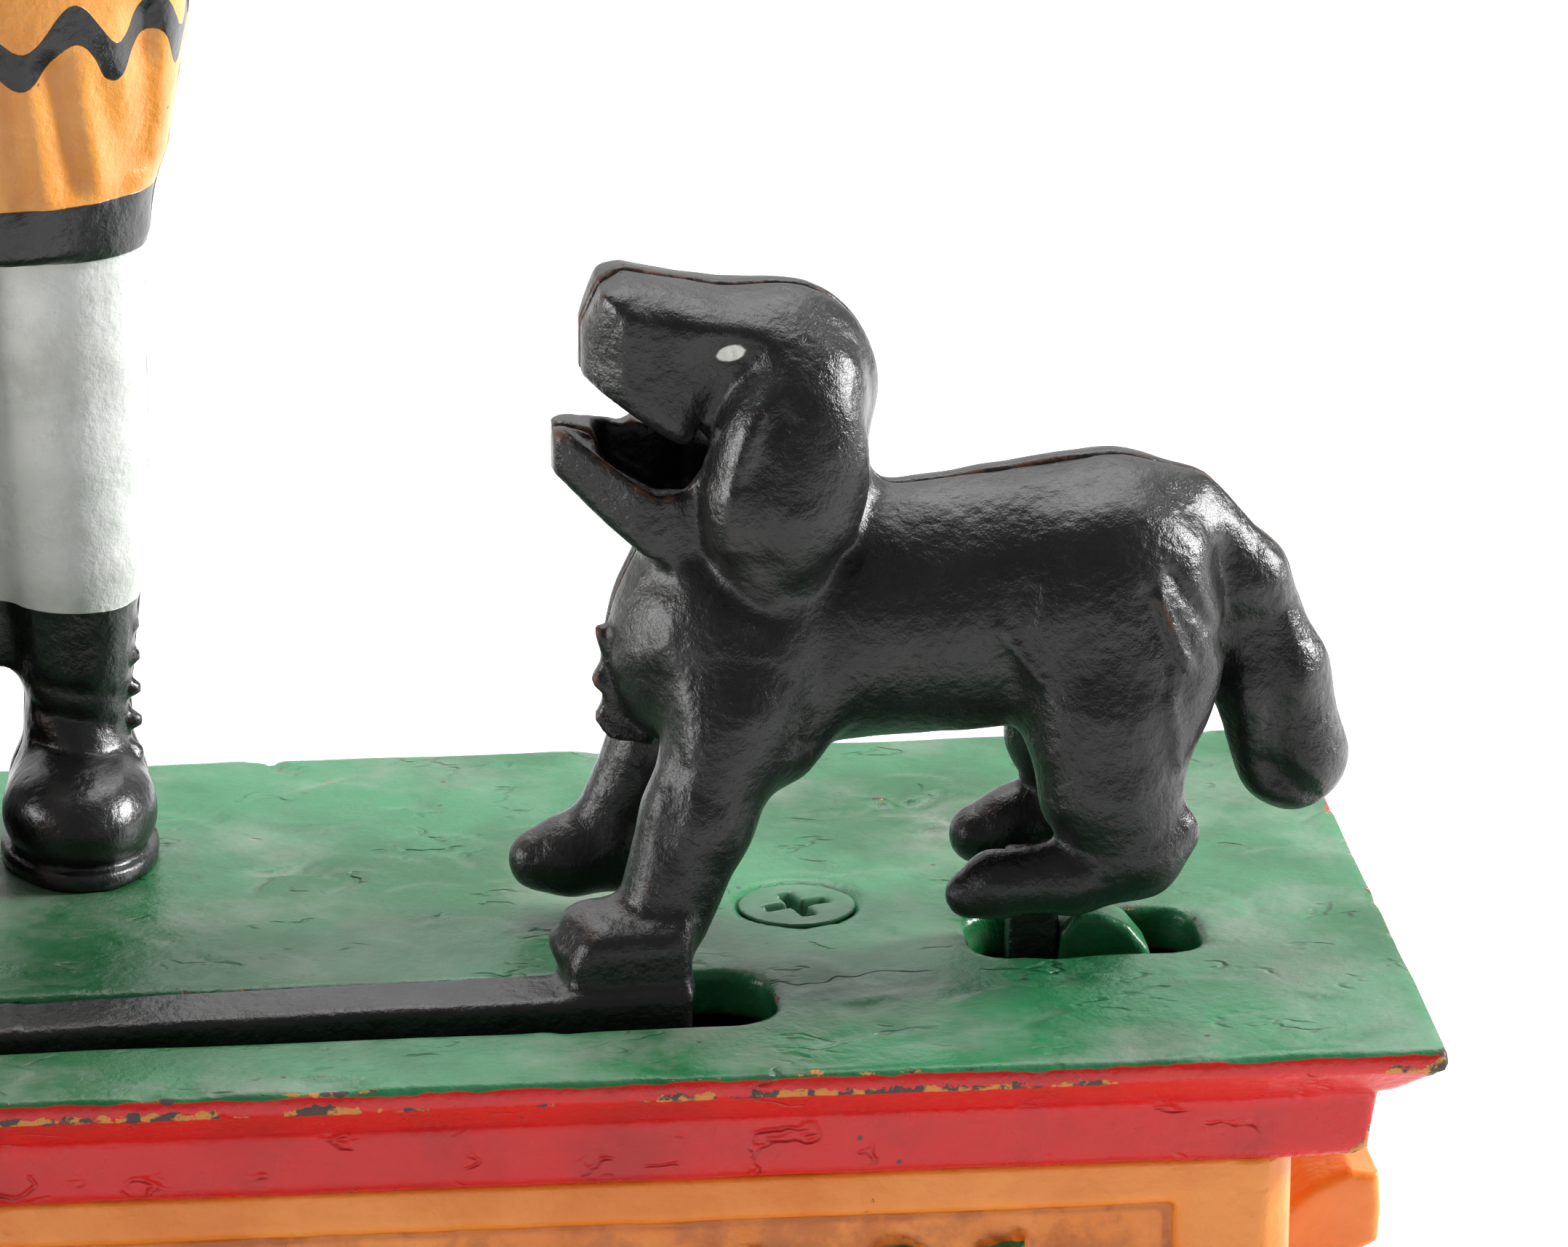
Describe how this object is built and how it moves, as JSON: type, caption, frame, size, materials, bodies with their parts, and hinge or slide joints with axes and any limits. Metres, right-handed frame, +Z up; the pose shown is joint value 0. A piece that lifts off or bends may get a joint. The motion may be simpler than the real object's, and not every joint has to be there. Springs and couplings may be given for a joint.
{
  "type": "mechanical bank",
  "caption": "Cast mechanical coin bank: a dog on a swinging arm leaps from a hollow stage through a clown's hoop and drops the coin into a barrel.",
  "frame": {"origin": "centre of the base's flat underside", "axes": "+Z up, +X towards the end where the dog stands at rest, -Y towards the viewer whom the clown faces"},
  "size_m": [0.222, 0.0885, 0.1891],
  "materials": {
    "stage_paint": "worn gloss enamel over cast iron: green top, red moulding",
    "plinth_paint": "worn gloss enamel over cast iron: red",
    "panel_paint": "worn gloss enamel over cast iron: orange with a darker wash in the recesses",
    "stage_screw": "steel screw painted over with the stage's green",
    "trap_iron": "bare, oiled",
    "plain_steel": "plain",
    "spring_steel": "dark, oiled",
    "lever_paint": "worn enamel: orange thumb pad, green claw",
    "dog_paint": "satin black enamel over pitted cast iron",
    "clown_paint": "worn hand-painted enamels: orange, black and white",
    "hoop_paint": "worn red enamel over steel rod",
    "barrel_paint": "worn enamels over cast iron: orange-brown staves, black bands"
  },
  "bodies": {
    "base": {"stage_plate": "stage_paint", "bottom_plate": "plinth_paint", "front_panel": "panel_paint", "back_panel": "panel_paint", "left_end_panel": "panel_paint", "right_end_panel": "panel_paint", "tie_screws": "stage_screw", "arm_axle": "plain_steel", "lever_pin": "plain_steel", "drive_spring": "spring_steel", "lever_spring": "spring_steel", "clown_front_half": "clown_paint", "clown_back_half": "clown_paint", "clown_rivets": "plain_steel", "hoop": "hoop_paint", "clown_screws": "plain_steel", "barrel": "barrel_paint", "barrel_screws": "plain_steel"},
    "dog": {"dog_near_half": "dog_paint", "dog_far_half": "dog_paint", "dog_rivets": "plain_steel"},
    "lever": {"release_lever": "lever_paint"},
    "trap": {"coin_trap_plug": "trap_iron"}
  },
  "joints": [
    {"name": "dog_leap", "type": "hinge", "parent": "base", "child": "dog", "pos_m": [-0.015, -0.0217, 0.04], "axis": [0, -1, 0], "range_deg": [0, 102], "deforming": ["drive_spring"]},
    {"name": "lever_press", "type": "hinge", "parent": "base", "child": "lever", "pos_m": [0.092, -0.01, 0.022], "axis": [0, 1, 0], "range_deg": [0, 7], "stiffness_Nm_per_rad": 0.25, "deforming": ["lever_spring"]},
    {"name": "trap_turn", "type": "hinge", "parent": "base", "child": "trap", "pos_m": [0.026, 0, 0.003], "axis": [0, 0, 1], "range_deg": [0, 90]}
  ]
}
